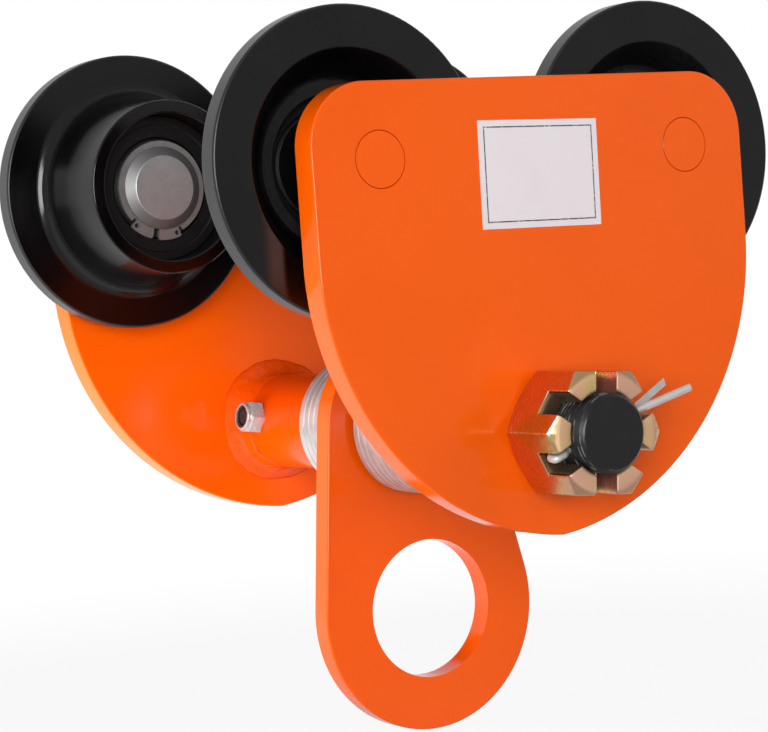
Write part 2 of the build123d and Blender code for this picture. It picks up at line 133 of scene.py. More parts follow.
class Wire:
    """A shader socket that takes part in Python expressions."""

    def __init__(self, graph: "Graph", socket: bpy.types.NodeSocket) -> None:
        """Keep the socket and the graph that it belongs to."""
        self.graph = graph
        self.socket = socket

    def apply(self, operation: str, *values: Number) -> "Wire":
        """Add a Math node.

        Args:
            operation: the node's operation.
            values: its inputs in order, wires or numbers.

        Returns:
            The node's result.
        """
        return self.graph.node("ShaderNodeMath", {"operation": operation}, dict(enumerate(values)))

    def __add__(self, other: Number) -> "Wire":
        """Return the sum."""
        return self.apply("ADD", self, other)

    def __radd__(self, other: Number) -> "Wire":
        """Return the sum with a number on the left."""
        return self.apply("ADD", other, self)

    def __sub__(self, other: Number) -> "Wire":
        """Return the difference."""
        return self.apply("SUBTRACT", self, other)

    def __rsub__(self, other: Number) -> "Wire":
        """Return the difference with a number on the left."""
        return self.apply("SUBTRACT", other, self)

    def __mul__(self, other: Number) -> "Wire":
        """Return the product."""
        return self.apply("MULTIPLY", self, other)

    def __rmul__(self, other: Number) -> "Wire":
        """Return the product with a number on the left."""
        return self.apply("MULTIPLY", other, self)

    def __pow__(self, power: Number) -> "Wire":
        """Return the power."""
        return self.apply("POWER", self, power)

    def __abs__(self) -> "Wire":
        """Return the absolute value."""
        return self.apply("ABSOLUTE", self)

    def highest(self, other: Number) -> "Wire":
        """Return the larger of the two values."""
        return self.apply("MAXIMUM", self, other)

    def radius(self, other: "Wire") -> "Wire":
        """Return the distance from the middle, where the two values are coordinates."""
        return (self * self + other * other) ** 0.5

    def ripple(self, pitch: float) -> "Wire":
        """Return a sine wave along this distance, one wave for each pitch in metres."""
        return self.apply("SINE", self * (2 * math.pi / pitch))

    def swing(self, amount: float) -> "Wire":
        """Return how far a noise pattern is from its middle, times an amount."""
        return (self - NOISE_MIDDLE) * amount

    def ease(self, low: float, high: float) -> "Wire":
        """Rise smoothly from 0 to 1.

        Args:
            low: the value where the rise starts.
            high: the value where it ends.

        Returns:
            A mask between 0 and 1.
        """
        settings = {"interpolation_type": "SMOOTHSTEP"}
        limits = {"From Min": low, "From Max": high, "To Min": 0.0, "To Max": 1.0}
        return self.graph.node("ShaderNodeMapRange", settings, {"Value": self, **limits})


class Graph:
    """Node tree of a material or of the world, with one method that adds nodes."""

    def __init__(self, tree: bpy.types.NodeTree) -> None:
        """Empty the tree and keep it."""
        self.tree = tree
        self.tree.nodes.clear()

    def add(self, kind: str, settings: Optional[dict[str, Any]] = None,
            inputs: Optional[dict[Union[int, str], Any]] = None) -> bpy.types.Node:
        """Add a node, set it up and connect it.

        Args:
            kind: the node's type.
            settings: its attributes, set first; "stops" holds a ramp's places and colours.
            inputs: values or wires for its sockets, by name or number.

        Returns:
            The node.
        """
        made = self.tree.nodes.new(kind)
        for key, value in (settings or {}).items():
            if key == "stops":
                self.set_stops(made.color_ramp, value)
            else:
                setattr(made, key, value)
        for key, value in (inputs or {}).items():
            if isinstance(value, Wire):
                self.tree.links.new(value.socket, made.inputs[key])
            else:
                made.inputs[key].default_value = value
        return made

    @staticmethod
    def set_stops(ramp: bpy.types.ColorRamp, stops: Stops) -> None:
        """Give a ramp its places and colours."""
        while len(ramp.elements) < len(stops):
            ramp.elements.new(1.0)
        for element, (place, colour) in zip(ramp.elements, stops):
            element.position = place
            element.color = (*colour, 1.0)

    def node(self, kind: str, settings: Optional[dict[str, Any]] = None,
             inputs: Optional[dict[Union[int, str], Any]] = None, output: Union[int, str] = 0) -> Wire:
        """Add a node for one of its outputs.

        Args:
            kind: the node's type.
            settings: its attributes.
            inputs: values or wires for its sockets, by name or number.
            output: the output's name or number.

        Returns:
            The chosen output.
        """
        return Wire(self, self.add(kind, settings, inputs).outputs[output])

    def coords(self, kind: str = "Object") -> Wire:
        """Return the object's own coordinates in metres, or another kind."""
        return self.node("ShaderNodeTexCoord", output=kind)

    def axes(self, kind: str = "Object") -> tuple[Wire, Wire, Wire]:
        """Return the X, Y and Z of the object's own coordinates, or of another kind."""
        split = self.add("ShaderNodeSeparateXYZ", inputs={"Vector": self.coords(kind)})
        x, y, z = (Wire(self, out) for out in split.outputs)
        return x, y, z

    def noise(self, grain: Grain) -> Wire:
        """Add a noise pattern.

        Args:
            grain: the pattern.

        Returns:
            A value that swings about NOISE_MIDDLE.
        """
        place = self.coords()
        if grain.stretch != UNSTRETCHED:
            place = self.node("ShaderNodeMapping", inputs={"Vector": place, "Scale": grain.stretch})
        inputs = {"Vector": place, "Scale": grain.scale, "Detail": grain.detail}
        return self.node("ShaderNodeTexNoise", inputs=inputs)

    def mix(self, factor: Number, first: Union[Wire, Colour], second: Union[Wire, Colour]) -> Wire:
        """Blend two colours.

        Args:
            factor: 0 gives the first colour and 1 the second.
            first: a colour or a wire.
            second: a colour or a wire.

        Returns:
            The blended colour.
        """
        ends = [value if isinstance(value, Wire) else (*value, 1.0) for value in (first, second)]
        inputs = {MIX_FACTOR: factor, MIX_FIRST: ends[0], MIX_SECOND: ends[1]}
        return self.node("ShaderNodeMix", {"data_type": "RGBA"}, inputs, MIX_RESULT)

    def ramp(self, value: Wire, stops: Stops) -> Wire:
        """Return a colour from a row of stops."""
        return self.node("ShaderNodeValToRGB", {"stops": stops}, {"Fac": value})

    def bump(self, height: Wire, relief: Relief) -> Wire:
        """Return a normal that is tilted by a height pattern."""
        inputs = {"Height": height, "Strength": relief.strength, "Distance": relief.distance}
        return self.node("ShaderNodeBump", inputs=inputs)

    def surface(self, inputs: dict[str, Any]) -> None:
        """Close the tree with a Principled shader.

        Args:
            inputs: values or wires for the shader's sockets.
        """
        self.close("ShaderNodeOutputMaterial", self.node("ShaderNodeBsdfPrincipled", inputs=inputs))

    def close(self, kind: str, shader: Wire) -> None:
        """Add the output node and connect a shader to its surface."""
        self.add(kind, inputs={"Surface": shader})

    def from_axle(self) -> tuple[Wire, Wire]:
        """Return the radius from the nearest axle's middle and the depth from its plate's inner face."""
        x, y, z = self.axes()
        across = abs(x) - AXLE_X
        up = z - AXLE_Z
        return across.radius(up), PLATE_INNER_Y - abs(y)

    def from_shaft(self) -> tuple[Wire, Wire]:
        """Return the radius from the cross shaft's middle and the distance along it."""
        x, y, z = self.axes()
        up = z - SHAFT_Z
        return x.radius(up), y


def grey(level: float) -> Colour:
    """Return a neutral colour."""
    return (level, level, level)


@dataclass(frozen=True)
class Finish(ABC):
    """A surface finish, made as a material the first time that it is asked for."""

    name: str

    def material(self) -> bpy.types.Material:
        """Return the finish's material."""
        found = bpy.data.materials.get(self.name)
        if found is None:
            found = bpy.data.materials.new(self.name)
            found.use_nodes = True
            self.draw(Graph(found.node_tree))
        return found

    @abstractmethod
    def draw(self, graph: Graph) -> None:
        """Fill the material's node tree."""


@dataclass(frozen=True)
class GlossPaint(Finish):
    """Sprayed gloss enamel with a fine orange peel, a few nibs of dust and a slightly uneven tone."""

    colour: Colour = ORANGE
    shade: Colour = (0.80, 0.090, 0.0008)
    roughness: float = 0.15
    gloss: float = 0.30
    cloud: Grain = Grain(16.0, 3.0)
    cloud_tone: Span = (0.40, 0.72)
    cloud_share: float = 0.45
    cloud_swing: float = 0.08
    peel: Grain = Grain(420.0, 1.0)
    peel_swing: float = 0.04
    nibs: Grain = Grain(1500.0, 0.0)
    nib_tops: Span = (0.74, 0.80)
    nib_height: float = 0.5
    relief: Relief = Relief(0.04, 0.0006)

    def draw(self, graph: Graph) -> None:
        """Fill the material's node tree."""
        cloud = graph.noise(self.cloud)
        peel = graph.noise(self.peel)
        nibs = graph.noise(self.nibs).ease(*self.nib_tops)
        shaded = cloud.ease(*self.cloud_tone) * self.cloud_share
        graph.surface({
            "Base Color": graph.mix(shaded, self.colour, self.shade),
            "Roughness": self.roughness + cloud.swing(self.cloud_swing) + peel.swing(self.peel_swing),
            "Normal": graph.bump(peel + nibs * self.nib_height, self.relief),
            "Specular IOR Level": self.gloss,
        })


@dataclass(frozen=True)
class BlackWheel(Finish):
    """Black enamel on wheels and bearing rings: rough in the dish, turned on the tread, painted sheen on
    the rim.
    """

    colour: Colour = (0.0012, 0.0010, 0.0012)
    worn: Colour = (0.0026, 0.0022, 0.0026)
    worn_tone: Span = (0.35, 0.75)
    # A lighter grey on the flange's rim: a painted sheen that stands in for its reflection
    rim_sheen_colour: Colour = (0.017, 0.016, 0.017)
    rim_sheen_share: float = 0.75
    rim_sheen_swing: float = 0.5
    rim_r: Span = (0.0579, 0.0585)
    dish_r: Span = (0.0425, 0.0438)
    dish_depth: Span = (0.0206, 0.0212)
    tread_depth: Span = (0.0163, 0.0172)
    bearing_r: Span = (0.0309, 0.0313)
    roughness: float = 0.16
    dish_roughness: float = 0.20
    rim_roughness: float = 0.18
    tread_polish: float = 0.02
    bearing_roughness: float = 0.30
    gloss: float = 0.42
    cloud: Grain = Grain(45.0, 2.0)
    cloud_swing: float = 0.08
    grit: Grain = Grain(330.0, 4.0)
    grit_height: float = 0.16
    dish_height: float = 2.2
    cut_pitch: float = 0.0007
    cut_height: float = 0.12
    turning_share: float = 0.5
    facing_share: float = 0.35
    relief: Relief = Relief(0.20, 0.0005)

    def draw(self, graph: Graph) -> None:
        """Fill the material's node tree."""
        radius, depth = graph.from_axle()
        rim = radius.ease(*self.rim_r)
        dish = (1.0 - radius.ease(*self.dish_r)) * (1.0 - depth.ease(*self.dish_depth))
        tread = depth.ease(*self.tread_depth)
        bearing = 1.0 - radius.ease(*self.bearing_r)
        grit = graph.noise(self.grit)
        cloud = graph.noise(self.cloud)
        turning = depth.ripple(self.cut_pitch) * self.turning_share * tread
        facing = radius.ripple(self.cut_pitch) * self.facing_share * (1.0 - tread) * (1.0 - dish)
        base = graph.mix(cloud.ease(*self.worn_tone), self.colour, self.worn)
        # Painted sheen: the rim is lightened, with a little grain across it
        rim_sheen = rim * (self.rim_sheen_share + grit.swing(self.rim_sheen_swing))
        rough = (self.roughness + cloud.swing(self.cloud_swing) + dish * self.dish_roughness
                 + rim * self.rim_roughness - tread * self.tread_polish + bearing * self.bearing_roughness)
        cast = grit * (self.grit_height + dish * self.dish_height)
        graph.surface({
            "Base Color": graph.mix(rim_sheen, base, self.rim_sheen_colour),
            "Roughness": rough,
            "Normal": graph.bump(cast + (turning + facing) * self.cut_height, self.relief),
            "Specular IOR Level": self.gloss,
        })


@dataclass(frozen=True)
class TurnedSteel(Finish):
    """Turned steel of the stub axles: bare at the end, black on the collar, painted outside the plate."""

    colour: Colour = (0.57, 0.615, 0.625)
    dark: Colour = (0.48, 0.52, 0.53)
    scale: Colour = (0.22, 0.215, 0.215)
    enamel: Colour = (0.0030, 0.0026, 0.0030)
    paint: Colour = ORANGE
    seam: Colour = (0.45, 0.038, 0.0006)
    seam_r: Span = (0.0103, 0.0105)
    slope_r: Span = (0.0132, 0.0139)
    bare_depth: Span = (0.0266, 0.0270)
    paint_depth: Span = (-0.0002, 0.0)
    metal: float = 0.95
    roughness: float = 0.30
    paint_polish: float = 0.15
    bare_roughness: float = 0.14
    slope_roughness: float = 0.08
    gloss: float = 0.30
    stain: Grain = Grain(160.0, 3.0)
    stain_tone: Span = (0.35, 0.7)
    stain_swing: float = 0.12
    ring_pitch: float = 0.0005
    ring_height: float = 0.3
    grain: Grain = Grain(2200.0, 1.0)
    grain_height: float = 0.4
    relief: Relief = Relief(0.08, 0.0002)

    def draw(self, graph: Graph) -> None:
        """Fill the material's node tree."""
        radius, depth = graph.from_axle()
        painted = 1.0 - depth.ease(*self.paint_depth)
        paint = graph.mix(radius.ease(*self.seam_r), self.paint, self.seam)
        bare = depth.ease(*self.bare_depth)
        stain = graph.noise(self.stain)
        grain = graph.noise(self.grain)
        rings = radius.ripple(self.ring_pitch)
        slope = radius.ease(*self.slope_r) * bare
        face = graph.mix(stain.ease(*self.stain_tone), self.colour, self.dark)
        steel = graph.mix(slope, face, self.scale)
        rough = (self.roughness + stain.swing(self.stain_swing) - painted * self.paint_polish
                 + bare * self.bare_roughness + slope * self.slope_roughness)
        height = rings * self.ring_height * bare + grain * self.grain_height
        graph.surface({
            "Base Color": graph.mix(bare, graph.mix(painted, self.enamel, paint), steel),
            "Metallic": bare * self.metal,
            "Roughness": rough,
            "Normal": graph.bump(height, self.relief),
            "Specular IOR Level": self.gloss,
        })


@dataclass(frozen=True)
class GroundSteel(Finish):
    """Ground steel of the bearing balls under a thin film of grease."""

    colour: Colour = (0.24, 0.235, 0.23)
    greased: Colour = (0.17, 0.16, 0.15)
    roughness: float = 0.32
    film: Grain = Grain(240.0, 2.0)
    film_tone: Span = (0.4, 0.8)
    film_share: float = 0.5
    film_swing: float = 0.12
    ring_pitch: float = 0.0004
    relief: Relief = Relief(0.04, 0.0001)

    def draw(self, graph: Graph) -> None:
        """Fill the material's node tree."""
        radius, _ = graph.from_axle()
        film = graph.noise(self.film)
        covered = film.ease(*self.film_tone) * self.film_share
        graph.surface({
            "Base Color": graph.mix(covered, self.colour, self.greased),
            "Metallic": 1.0,
            "Roughness": self.roughness + film.swing(self.film_swing),
            "Normal": graph.bump(radius.ripple(self.ring_pitch), self.relief),
        })


@dataclass(frozen=True)
class ClearZinc(Finish):
    """Clear zinc plate or plain steel with a faint cloudy bloom and fine drawn lines."""

    colour: Colour
    bloom: Colour
    roughness: float
    metal: float
    cloud: Grain = Grain(190.0, 3.0)
    cloud_tone: Span = (0.38, 0.70)
    cloud_share: float = 0.7
    cloud_swing: float = 0.22
    lines: Grain = Grain(900.0, 2.0)
    relief: Relief = Relief(0.12, 0.0003)

    def draw(self, graph: Graph) -> None:
        """Fill the material's node tree."""
        cloud = graph.noise(self.cloud)
        bloomed = cloud.ease(*self.cloud_tone) * self.cloud_share
        graph.surface({
            "Base Color": graph.mix(bloomed, self.colour, self.bloom),
            "Metallic": self.metal,
            "Roughness": self.roughness + cloud.swing(self.cloud_swing),
            "Normal": graph.bump(graph.noise(self.lines), self.relief),
        })


@dataclass(frozen=True)
class YellowZinc(Finish):
    """Yellow passivated zinc on the slotted nut, drifting from gold to rose, with painted shade in its
    slots.
    """

    tints: Stops = (
        (0.34, (0.55, 0.47, 0.17)),
        (0.44, (0.68, 0.44, 0.23)),
        (0.56, (0.68, 0.40, 0.25)),
        (0.70, (0.64, 0.37, 0.28)),
    )
    drift: Grain = Grain(48.0, 1.0)
    mottle: Grain = Grain(260.0, 2.0)
    mottle_tint: float = 0.14
    mottle_swing: float = 0.05
    scratch: Grain = Grain(1500.0, 3.0, (0.06, 1.0, 0.06))
    scratch_tint: float = 0.22
    scratch_swing: float = 0.2
    roughness: float = 0.26
    front_y: float = -0.1455
    tip_depth: Span = (0.0002, 0.0008)
    tip_metal: float = 0.55
    tip_roughness: float = 0.30
    slot_r: Span = (0.0205, 0.0226)
    slot_shade_share: float = 0.85
    slot_dullness: float = 0.4
    # Painted shade inside the slots, and a red-brown painted reflection of the orange paint in the top and
    # bottom slots
    painted_slot_shade: Colour = (0.022, 0.016, 0.012)
    painted_orange_reflection: Colour = (0.30, 0.085, 0.065)
    reflection_x: Span = (0.0062, 0.0085)
    relief: Relief = Relief(0.28, 0.0002)

    def draw(self, graph: Graph) -> None:
        """Fill the material's node tree."""
        radius, along = graph.from_shaft()
        drift = graph.noise(self.drift)
        mottle = graph.noise(self.mottle)
        scratch = graph.noise(self.scratch)
        behind_tip = along.ease(self.front_y + self.tip_depth[0], self.front_y + self.tip_depth[1])
        # Painted shade in the slots: near black in the side slots, a painted orange reflection in the top
        # and bottom ones; less metal there darkens them further
        inside = (1.0 - radius.ease(*self.slot_r)) * behind_tip
        upright = 1.0 - abs(graph.axes()[0]).ease(*self.reflection_x)
        hue = drift + mottle.swing(self.mottle_tint) + scratch.swing(self.scratch_tint)
        slot_shade_colour = graph.mix(upright, self.painted_slot_shade, self.painted_orange_reflection)
        metal = self.tip_metal + behind_tip * (1.0 - self.tip_metal) - inside * self.slot_dullness
        rough = (self.roughness + mottle.swing(self.mottle_swing) + (1.0 - behind_tip) * self.tip_roughness
                 + scratch.swing(self.scratch_swing))
        graph.surface({
            "Base Color": graph.mix(inside * self.slot_shade_share, graph.ramp(hue, self.tints), slot_shade_colour),
            "Metallic": metal,
            "Roughness": rough,
            "Normal": graph.bump(scratch, self.relief),
        })


@dataclass(frozen=True)
class BlackOxide(Finish):
    """Black oxide on the shaft and the bolt, rubbed on the thread's crests and round the shaft's end."""

    colour: Colour = (0.0082, 0.0072, 0.0078)
    cloudy: Colour = grey(0.0095)
    rubbed: Colour = (0.16, 0.155, 0.15)
    thread_runout: float = 0.0005
    crest_r: Span = (0.0146, 0.0149)
    crest_scuff: Span = (0.50, 0.62)
    end_inner_r: Span = (0.0131, 0.0138)
    end_outer_r: Span = (0.0138, 0.0142)
    end_scuff: Span = (0.52, 0.66)
    end_share: float = 0.6
    roughness: float = 0.38
    gloss: float = 0.34
    cloud: Grain = Grain(70.0, 2.0)
    scuff: Grain = Grain(700.0, 4.0, (0.25, 1.6, 0.25))
    scuff_swing: float = 0.22
    relief: Relief = Relief(0.10, 0.0003)

    def draw(self, graph: Graph) -> None:
        """Fill the material's node tree."""
        radius, along = graph.from_shaft()
        scuff = graph.noise(self.scuff)
        cloud = graph.noise(self.cloud)
        threaded = 1.0 - along.ease(-PLATE_OUTER_Y - self.thread_runout, -PLATE_OUTER_Y)
        crest = radius.ease(*self.crest_r) * threaded * scuff.ease(*self.crest_scuff)
        end = radius.ease(*self.end_inner_r) * (1.0 - radius.ease(*self.end_outer_r))
        worn = crest.highest(end * threaded * scuff.ease(*self.end_scuff) * self.end_share)
        graph.surface({
            "Base Color": graph.mix(worn, graph.mix(cloud, self.colour, self.cloudy), self.rubbed),
            "Roughness": self.roughness + scuff.swing(self.scuff_swing),
            "Normal": graph.bump(scuff, self.relief),
            "Specular IOR Level": self.gloss,
        })


@dataclass(frozen=True)
class SealRubber(Finish):
    """Black nitrile of the bearing seals, with moulded rings."""

    colour: Colour = (0.0030, 0.0028, 0.0031)
    dusty: Colour = grey(0.009)
    roughness: float = 0.60
    gloss: float = 0.22
    dust: Grain = Grain(380.0, 3.0)
    dust_tone: Span = (0.45, 0.8)
    dust_share: float = 0.5
    dust_swing: float = 0.2
    ring_pitch: float = 0.0011
    relief: Relief = Relief(0.12, 0.0002)

    def draw(self, graph: Graph) -> None:
        """Fill the material's node tree."""
        radius, _ = graph.from_axle()
        dust = graph.noise(self.dust)
        covered = dust.ease(*self.dust_tone) * self.dust_share
        graph.surface({
            "Base Color": graph.mix(covered, self.colour, self.dusty),
            "Roughness": self.roughness + dust.swing(self.dust_swing),
            "Normal": graph.bump(radius.ripple(self.ring_pitch), self.relief),
            "Specular IOR Level": self.gloss,
        })


@dataclass(frozen=True)
class InsertNylon(Finish):
    """Dark nylon of the lock nut's insert."""

    colour: Colour = (0.012, 0.009, 0.013)
    pale: Colour = (0.03, 0.024, 0.032)
    roughness: float = 0.42
    mottle: Grain = Grain(800.0, 2.0)
    mottle_swing: float = 0.2
    relief: Relief = Relief(0.10, 0.0002)

    def draw(self, graph: Graph) -> None:
        """Fill the material's node tree."""
        mottle = graph.noise(self.mottle)
        graph.surface({
            "Base Color": graph.mix(mottle, self.colour, self.pale),
            "Roughness": self.roughness + mottle.swing(self.mottle_swing),
            "Normal": graph.bump(mottle, self.relief),
        })


@dataclass(frozen=True)
class BlankLabel(Finish):
    """Pale foil label, left blank inside one thin printed border line."""

    paper: Colour = (0.735, 0.675, 0.70)
    shaded: Colour = (0.69, 0.635, 0.66)
    ink: Colour = (0.03, 0.028, 0.03)
    centre: tuple[float, float] = (0.0, 0.031175)
    half: tuple[float, float] = (0.02765, 0.0204)
    turn: float = math.radians(-1.0)
    inset: float = 0.0026
    line_edge: Span = (0.000168, 0.000336)
    roughness: float = 0.40
    fibre: Grain = Grain(1300.0, 3.0)
    print_wear: Span = (0.25, 0.5)
    sheen: Grain = Grain(60.0, 1.0)
    sheen_tone: Span = (0.4, 0.8)
    sheen_share: float = 0.5
    sheen_swing: float = 0.15
    relief: Relief = Relief(0.05, 0.0001)

    def draw(self, graph: Graph) -> None:
        """Fill the material's node tree."""
        x, _, z = graph.axes()
        right, up = x - self.centre[0], z - self.centre[1]
        cosine, sine = math.cos(self.turn), math.sin(self.turn)
        along = abs(right * cosine + up * sine) - (self.half[0] - self.inset)
        rise = abs(up * cosine - right * sine) - (self.half[1] - self.inset)
        border = 1.0 - abs(along.highest(rise)).ease(*self.line_edge)
        fibre = graph.noise(self.fibre)
        sheen = graph.noise(self.sheen)
        foil = graph.mix(sheen.ease(*self.sheen_tone) * self.sheen_share, self.paper, self.shaded)
        graph.surface({
            "Base Color": graph.mix(border * fibre.ease(*self.print_wear), foil, self.ink),
            "Roughness": self.roughness + sheen.swing(self.sheen_swing),
            "Normal": graph.bump(fibre, self.relief),
        })


@dataclass(frozen=True)
class Surround:
    """White backdrop behind the trolley and the dimmer room in front of it, as reflections see them."""

    dim: float = 0.48

    @staticmethod
    def rays(graph: Graph) -> tuple[Wire, Wire]:
        """Return 1 for rays from the camera, and 1 for rays that were mirrored or came through glass."""
        path = graph.add("ShaderNodeLightPath")
        camera, glossy, through = (Wire(graph, path.outputs[ray.value]) for ray in Ray)
        return camera, glossy.highest(through)

    def glow(self, behind: Wire) -> Wire:
        """Return how bright a place of the surround looks in a reflection.

        Args:
            behind: 1 behind the trolley and 0 in front of it.

        Returns:
            The brightness, where 1 is white.
        """
        return self.dim + behind * (1.0 - self.dim)


@dataclass(frozen=True)
class PaleFloor(Finish):
    """White floor, nearly pure white to the camera, that throws light up from the back left."""

    surround: Surround = Surround()
    lift: float = 0.92
    shadow_r: Span = (0.25, 0.60)
    turn_y: Span = (-0.25, 0.25)
    lit: float = 7.0
    lit_centre: tuple[float, float] = (-0.40, 0.40)
    lit_r: Span = (0.30, 0.55)
    bare: Colour = grey(0.55)

    def draw(self, graph: Graph) -> None:
        """Fill the material's node tree."""
        x, y, _ = graph.axes()
        away = x.radius(y).ease(*self.shadow_r)
        left, back = x - self.lit_centre[0], y - self.lit_centre[1]
        bright = 1.0 - left.radius(back).ease(*self.lit_r)
        camera, mirrored = self.surround.rays(graph)
        scattered = 1.0 - camera.highest(mirrored)
        glow = camera + mirrored * self.surround.glow(y.ease(*self.turn_y)) + scattered * self.lit
        seen = camera * (self.lift + away * (1.0 - self.lift)) + mirrored + scattered * bright
        bare = graph.node("ShaderNodeBsdfDiffuse", inputs={"Color": (*self.bare, 1.0)})
        white = graph.node("ShaderNodeEmission", inputs={"Color": WHITE, "Strength": glow})
        inputs = {BLEND_FACTOR: seen, BLEND_FIRST: bare, BLEND_SECOND: white}
        graph.close("ShaderNodeOutputMaterial", graph.node("ShaderNodeMixShader", inputs=inputs))


def dress(node: str, finish: Finish) -> None:
    """Give a solid of the frame its finish.

    Args:
        node: the solid's name.
        finish: what it is finished with.
    """
    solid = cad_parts[node]
    if not solid.material_slots:
        solid.data.materials.append(None)
    for place in solid.material_slots:
        place.material = finish.material()
    log.info("%s dressed in %s", node, finish.name)


def select_only(piece: bpy.types.Object) -> None:
    """Deselect everything, then select one piece and make it active."""
    bpy.ops.object.select_all(action="DESELECT")
    piece.select_set(True)
    bpy.context.view_layer.objects.active = piece


def edit_where(piece: bpy.types.Object, chosen: Callable[[int], bool], act: Callable[[], Any]) -> None:
    """Select some of a piece's vertices and run an operator on them in edit mode.

    Args:
        piece: the piece to shape.
        chosen: says for a vertex's number whether it is selected.
        act: runs the operator.
    """
    select_only(piece)
    bpy.ops.object.mode_set(mode="EDIT")
    bpy.ops.mesh.select_mode(type="VERT")
    bpy.ops.mesh.select_all(action="DESELECT")
    bpy.ops.object.mode_set(mode="OBJECT")
    for vertex in piece.data.vertices:
        vertex.select = chosen(vertex.index)
    bpy.ops.object.mode_set(mode="EDIT")
    act()
    bpy.ops.object.mode_set(mode="OBJECT")


@dataclass
class WeldBead:
    """Fillet weld round the foot of a sleeve: a soft, uneven run that blends into the sleeve."""

    node: str
    plate_y: float
    inward: int
    # Radius from the shaft and height over the plate, round the bead's section
    section: tuple[tuple[float, float], ...] = (
        (0.02775, -0.0003), (0.02765, 0.0009), (0.02710, 0.0021), (0.02615, 0.0031),
        (0.02500, 0.0040), (0.02390, 0.0049), (0.02295, 0.0060), (0.02220, 0.0074),
        (0.02165, 0.0092), (0.02125, 0.0115), (0.02085, 0.0140), (0.02060, 0.0090),
        (0.02060, 0.0040), (0.02060, 0.0015), (0.02080, -0.0003), (0.02450, -0.0004),
    )
    # Radii of the ring that the bead is drawn out from, and of its wire
    start_ring: tuple[float, float] = (0.0240, 0.0040)
    rings: int = 180
    lump: float = 0.00042
    # Waves round the bead: how many, their phase and their share of a lump
    waves: tuple[tuple[int, float, float], ...] = ((4, 4.71, 1.0), (7, 2.0, 0.4), (17, 1.1, 0.18))
    # The end of the run: its angle, width and height
    stop: tuple[float, float, float] = (3.75, 0.09, 0.0007)
    rounding: int = 1
    # Width and height of the coarse and the fine roughness
    grains: tuple[tuple[float, float], ...] = ((0.0065, 0.0009), (0.0018, 0.00038))

    def height(self, ring: int) -> float:
        """Return how far a ring of the bead stands out.

        Args:
            ring: the ring's number along the bead.

        Returns:
            The height over the plain bead, in metres.
        """
        angle = 2 * math.pi * ring / self.rings
        waves = (share * math.sin(count * angle + phase) for count, phase, share in self.waves)
        place, width, rise = self.stop
        return self.lump * sum(waves) + rise * math.exp(-((angle - place) / width) ** 2)

    def model(self) -> bpy.types.Object:
        """Model the bead.

        Returns:
            The finished piece.
        """
        bpy.ops.object.select_all(action="DESELECT")
        bpy.ops.mesh.primitive_torus_add(
            location=(0.0, self.plate_y, SHAFT_Z), rotation=(-self.inward * math.pi / 2, 0.0, 0.0),
            major_segments=self.rings, minor_segments=len(self.section),
            major_radius=self.start_ring[0], minor_radius=self.start_ring[1])
        bead = bpy.context.object
        bead.name = f"{self.node}_bead"
        bpy.ops.object.transform_apply(location=True, rotation=True, scale=True)
        self.shape(bead)
        self.finish(bead)
        return bead

    def shape(self, bead: bpy.types.Object) -> None:
        """Draw the ring's section out to a fillet, line by line, and then swell it ring by ring."""
        sides = len(self.section)
        ring_r, wire_r = self.start_ring
        for line, (radius, height) in enumerate(self.section):
            angle = 2 * math.pi * line / sides
            spread = radius / (ring_r + wire_r * math.cos(angle))
            lift = self.inward * (height - wire_r * math.sin(angle))
            edit_where(bead, lambda index: index % sides == line, lambda: self.draw_out(spread, lift))
        for ring in range(self.rings):
            edit_where(bead, lambda index: index // sides == ring,
                       lambda: bpy.ops.transform.shrink_fatten(value=self.height(ring)))

    def draw_out(self, spread: float, lift: float) -> None:
        """Scale the selected line about the shaft and slide it along the shaft.

        Args:
            spread: the factor on its radius.
            lift: how far it slides, in metres.
        """
        bpy.ops.transform.resize(
            value=(spread, 1.0, spread), center_override=(0.0, self.plate_y, SHAFT_Z))
        bpy.ops.transform.translate(value=(0.0, lift, 0.0))

    def finish(self, bead: bpy.types.Object) -> None:
        """Round the bead off, roughen it a little and smooth its shading."""
        select_only(bead)
        rounding = bead.modifiers.new("rounding", "SUBSURF")
        rounding.levels = rounding.render_levels = self.rounding
        bpy.ops.object.modifier_apply(modifier=rounding.name)
        for width, height in self.grains:
            clouds = bpy.data.textures.new(f"{self.node}_lumps", "CLOUDS")
            clouds.noise_scale = width
            roughening = bead.modifiers.new("roughening", "DISPLACE")
            roughening.texture = clouds
            roughening.strength = height
            bpy.ops.object.modifier_apply(modifier=roughening.name)
        bpy.ops.object.shade_smooth()


@dataclass
class EasedCopy:
    """A machined piece of the frame, copied with its sharp edges broken as a file leaves them."""

    node: str
    ease: float
    steps: int = 2
    weld_gap: float = 1e-6
    flat_angle: float = math.radians(0.6)
    edge_angle: float = math.radians(18.0)

    def model(self) -> bpy.types.Object:
        """Model the copy.

        Returns:
            The finished piece.
        """
        piece = bpy.data.objects.new(f"{self.node}_eased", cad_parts[self.node].data.copy())
        bpy.context.scene.collection.objects.link(piece)
        select_only(piece)
        bpy.ops.object.mode_set(mode="EDIT")
        bpy.ops.mesh.select_all(action="SELECT")
        bpy.ops.mesh.remove_doubles(threshold=self.weld_gap)
        bpy.ops.mesh.dissolve_limited(angle_limit=self.flat_angle)
        bpy.ops.object.mode_set(mode="OBJECT")
        bpy.ops.object.shade_smooth()
        rounding = piece.modifiers.new("broken_edges", "BEVEL")
        rounding.width = self.ease
        rounding.segments = self.steps
        rounding.limit_method = "ANGLE"
        rounding.angle_limit = self.edge_angle
        rounding.use_clamp_overlap = False
        rounding.harden_normals = True
        bpy.ops.object.modifier_apply(modifier=rounding.name)
        return piece


